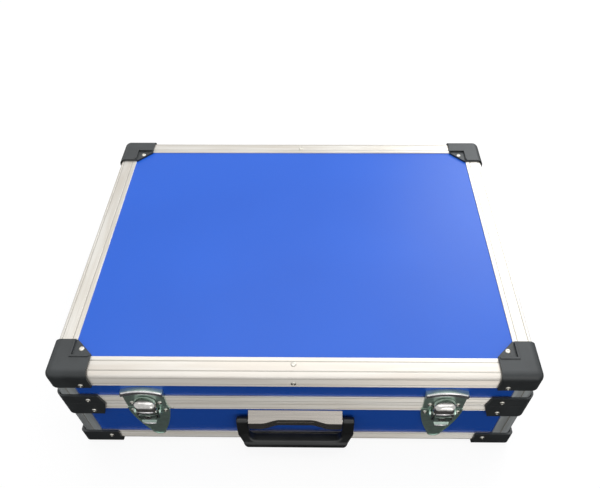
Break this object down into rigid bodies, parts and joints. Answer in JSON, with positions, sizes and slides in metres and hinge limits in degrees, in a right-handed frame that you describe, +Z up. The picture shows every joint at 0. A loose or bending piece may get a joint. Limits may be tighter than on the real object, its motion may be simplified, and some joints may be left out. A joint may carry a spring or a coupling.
{
  "type": "digital logic trainer",
  "caption": "Logic circuit trainer in a latched, aluminium-framed carrying case: a hinged foam-lined lid over a control panel with breadboards, switches, lamps and displays.",
  "frame": {"origin": "on the floor, under the middle of the closed case's whole outline", "axes": "+X to the right along the case's longest side as seen from the handle, +Y to the rear where the lid is hinged, +Z up"},
  "size_m": [0.4668, 0.3738, 0.1433],
  "materials": {
    "blue_board": "smooth blue laminate on board",
    "aluminium_extrusion": "satin anodised",
    "black_corner": "moulded, soft sheen",
    "rivet_metal": "bright",
    "hinge_steel": "plated",
    "latch_chrome": "bright plated",
    "handle_plastic": "moulded, fine grain",
    "foam": "open foam",
    "rail_wood": "bare wood",
    "panel_paint": "satin painted sheet",
    "board_white": "moulded",
    "transformer_iron": "varnished laminations and tape",
    "switch_black": "moulded",
    "toggle_metal": "bright plated",
    "button_red": "moulded",
    "lamp_red": "clear red lens",
    "display_dark": "dark window"
  },
  "bodies": {
    "base": {"base_bottom_corners": "black_corner", "base_bottom_panel": "blue_board", "base_corner_posts": "aluminium_extrusion", "base_edge_extrusions": "aluminium_extrusion", "base_front_panel": "blue_board", "base_hinge_leaves": "hinge_steel", "base_rear_panel": "blue_board", "base_rim_corners": "black_corner", "base_rim_extrusions": "aluminium_extrusion", "base_rivets": "rivet_metal", "base_side_panels": "blue_board", "breadboards": "board_white", "control_panel": "panel_paint", "digit_displays": "display_dark", "handle_bracket": "latch_chrome", "handle_pins": "hinge_steel", "hinge_pins": "hinge_steel", "indicator_lamps": "lamp_red", "latch_base_plates": "latch_chrome", "latch_pivot_pins": "hinge_steel", "mains_inlet": "switch_black", "panel_screws": "hinge_steel", "panel_support_rails": "rail_wood", "power_transformer": "transformer_iron", "switch_bodies": "switch_black", "terminal_posts": "button_red"},
    "lid": {"latch_catch_plates": "latch_chrome", "lid_corner_posts": "aluminium_extrusion", "lid_edge_extrusions": "aluminium_extrusion", "lid_foam": "foam", "lid_front_panel": "blue_board", "lid_hinge_leaves": "hinge_steel", "lid_rear_panel": "blue_board", "lid_rim_corners": "black_corner", "lid_rim_extrusions": "aluminium_extrusion", "lid_rivets": "rivet_metal", "lid_side_panels": "blue_board", "lid_top_corners": "black_corner", "lid_top_panel": "blue_board"},
    "left_latch_lever": {"left_latch_lever": "latch_chrome"},
    "right_latch_lever": {"right_latch_lever": "latch_chrome"},
    "left_latch_hook": {"left_latch_hook": "latch_chrome"},
    "right_latch_hook": {"right_latch_hook": "latch_chrome"},
    "left_lock_cylinder": {"left_lock_cylinder": "latch_chrome"},
    "right_lock_cylinder": {"right_lock_cylinder": "latch_chrome"},
    "carry_handle": {"carry_handle": "handle_plastic"},
    "power_rocker": {"power_rocker": "switch_black"},
    "clock_knob": {"clock_knob": "switch_black"},
    "pulse_button_1": {"pulse_button_1": "button_red"},
    "pulse_button_2": {"pulse_button_2": "button_red"},
    "toggle_lever_1": {"toggle_lever_1": "toggle_metal"},
    "toggle_lever_2": {"toggle_lever_2": "toggle_metal"},
    "toggle_lever_3": {"toggle_lever_3": "toggle_metal"},
    "toggle_lever_4": {"toggle_lever_4": "toggle_metal"},
    "toggle_lever_5": {"toggle_lever_5": "toggle_metal"},
    "toggle_lever_6": {"toggle_lever_6": "toggle_metal"},
    "toggle_lever_7": {"toggle_lever_7": "toggle_metal"},
    "toggle_lever_8": {"toggle_lever_8": "toggle_metal"}
  },
  "joints": [
    {"name": "lid_hinge", "type": "hinge", "parent": "base", "child": "lid", "pos_m": [0, 0.1843, 0.0872], "axis": [-1, 0, 0], "range_deg": [0, 100]},
    {"name": "left_lever_hinge", "type": "hinge", "parent": "base", "child": "left_latch_lever", "pos_m": [-0.147, -0.1727, 0.0767], "axis": [-1, 0, 0], "range_deg": [0, 90]},
    {"name": "left_hook_hinge", "type": "hinge", "parent": "left_latch_lever", "child": "left_latch_hook", "pos_m": [-0.147, -0.1749, 0.0697], "axis": [-1, 0, 0], "range_deg": [-112.5, 0]},
    {"name": "left_lock_turn", "type": "hinge", "parent": "left_latch_lever", "child": "left_lock_cylinder", "pos_m": [-0.147, -0.1781, 0.0727], "axis": [0, -1, 0], "range_deg": [0, 90]},
    {"name": "right_lever_hinge", "type": "hinge", "parent": "base", "child": "right_latch_lever", "pos_m": [0.147, -0.1727, 0.0767], "axis": [-1, 0, 0], "range_deg": [0, 90]},
    {"name": "right_hook_hinge", "type": "hinge", "parent": "right_latch_lever", "child": "right_latch_hook", "pos_m": [0.147, -0.1749, 0.0697], "axis": [-1, 0, 0], "range_deg": [-112.5, 0]},
    {"name": "right_lock_turn", "type": "hinge", "parent": "right_latch_lever", "child": "right_lock_cylinder", "pos_m": [0.147, -0.1781, 0.0727], "axis": [0, -1, 0], "range_deg": [0, 90]},
    {"name": "handle_hinge", "type": "hinge", "parent": "base", "child": "carry_handle", "pos_m": [0, -0.1735, 0.0582], "axis": [-1, 0, 0], "range_deg": [0, 95]},
    {"name": "rocker_tilt", "type": "hinge", "parent": "base", "child": "power_rocker", "pos_m": [-0.1765, 0.1181, 0.07445], "axis": [-1, 0, 0], "range_deg": [0, 16]},
    {"name": "toggle_1_tilt", "type": "hinge", "parent": "base", "child": "toggle_lever_1", "pos_m": [-0.172, -0.1059, 0.07995], "axis": [-1, 0, 0], "range_deg": [0, 24]},
    {"name": "toggle_2_tilt", "type": "hinge", "parent": "base", "child": "toggle_lever_2", "pos_m": [-0.151, -0.1059, 0.07995], "axis": [-1, 0, 0], "range_deg": [0, 24]},
    {"name": "toggle_3_tilt", "type": "hinge", "parent": "base", "child": "toggle_lever_3", "pos_m": [-0.13, -0.1059, 0.07995], "axis": [-1, 0, 0], "range_deg": [0, 24]},
    {"name": "toggle_4_tilt", "type": "hinge", "parent": "base", "child": "toggle_lever_4", "pos_m": [-0.109, -0.1059, 0.07995], "axis": [-1, 0, 0], "range_deg": [0, 24]},
    {"name": "toggle_5_tilt", "type": "hinge", "parent": "base", "child": "toggle_lever_5", "pos_m": [-0.088, -0.1059, 0.07995], "axis": [-1, 0, 0], "range_deg": [0, 24]},
    {"name": "toggle_6_tilt", "type": "hinge", "parent": "base", "child": "toggle_lever_6", "pos_m": [-0.067, -0.1059, 0.07995], "axis": [-1, 0, 0], "range_deg": [0, 24]},
    {"name": "toggle_7_tilt", "type": "hinge", "parent": "base", "child": "toggle_lever_7", "pos_m": [-0.046, -0.1059, 0.07995], "axis": [-1, 0, 0], "range_deg": [0, 24]},
    {"name": "toggle_8_tilt", "type": "hinge", "parent": "base", "child": "toggle_lever_8", "pos_m": [-0.025, -0.1059, 0.07995], "axis": [-1, 0, 0], "range_deg": [0, 24]},
    {"name": "knob_turn", "type": "hinge", "parent": "base", "child": "clock_knob", "pos_m": [0.14, -0.1059, 0.07695], "axis": [0, 0, -1], "range_deg": [-140, 140]},
    {"name": "button_1_press", "type": "slide", "parent": "base", "child": "pulse_button_1", "axis": [0, 0, -1], "range_m": [0, 0.002], "stiffness_N_per_m": 400, "springref_m": -0.0005},
    {"name": "button_2_press", "type": "slide", "parent": "base", "child": "pulse_button_2", "axis": [0, 0, -1], "range_m": [0, 0.002], "stiffness_N_per_m": 400, "springref_m": -0.0005}
  ],
  "couplings": [
    {"joint": "left_hook_hinge", "follows": "left_lever_hinge", "ratio": -1.25},
    {"joint": "right_hook_hinge", "follows": "right_lever_hinge", "ratio": -1.25}
  ]
}
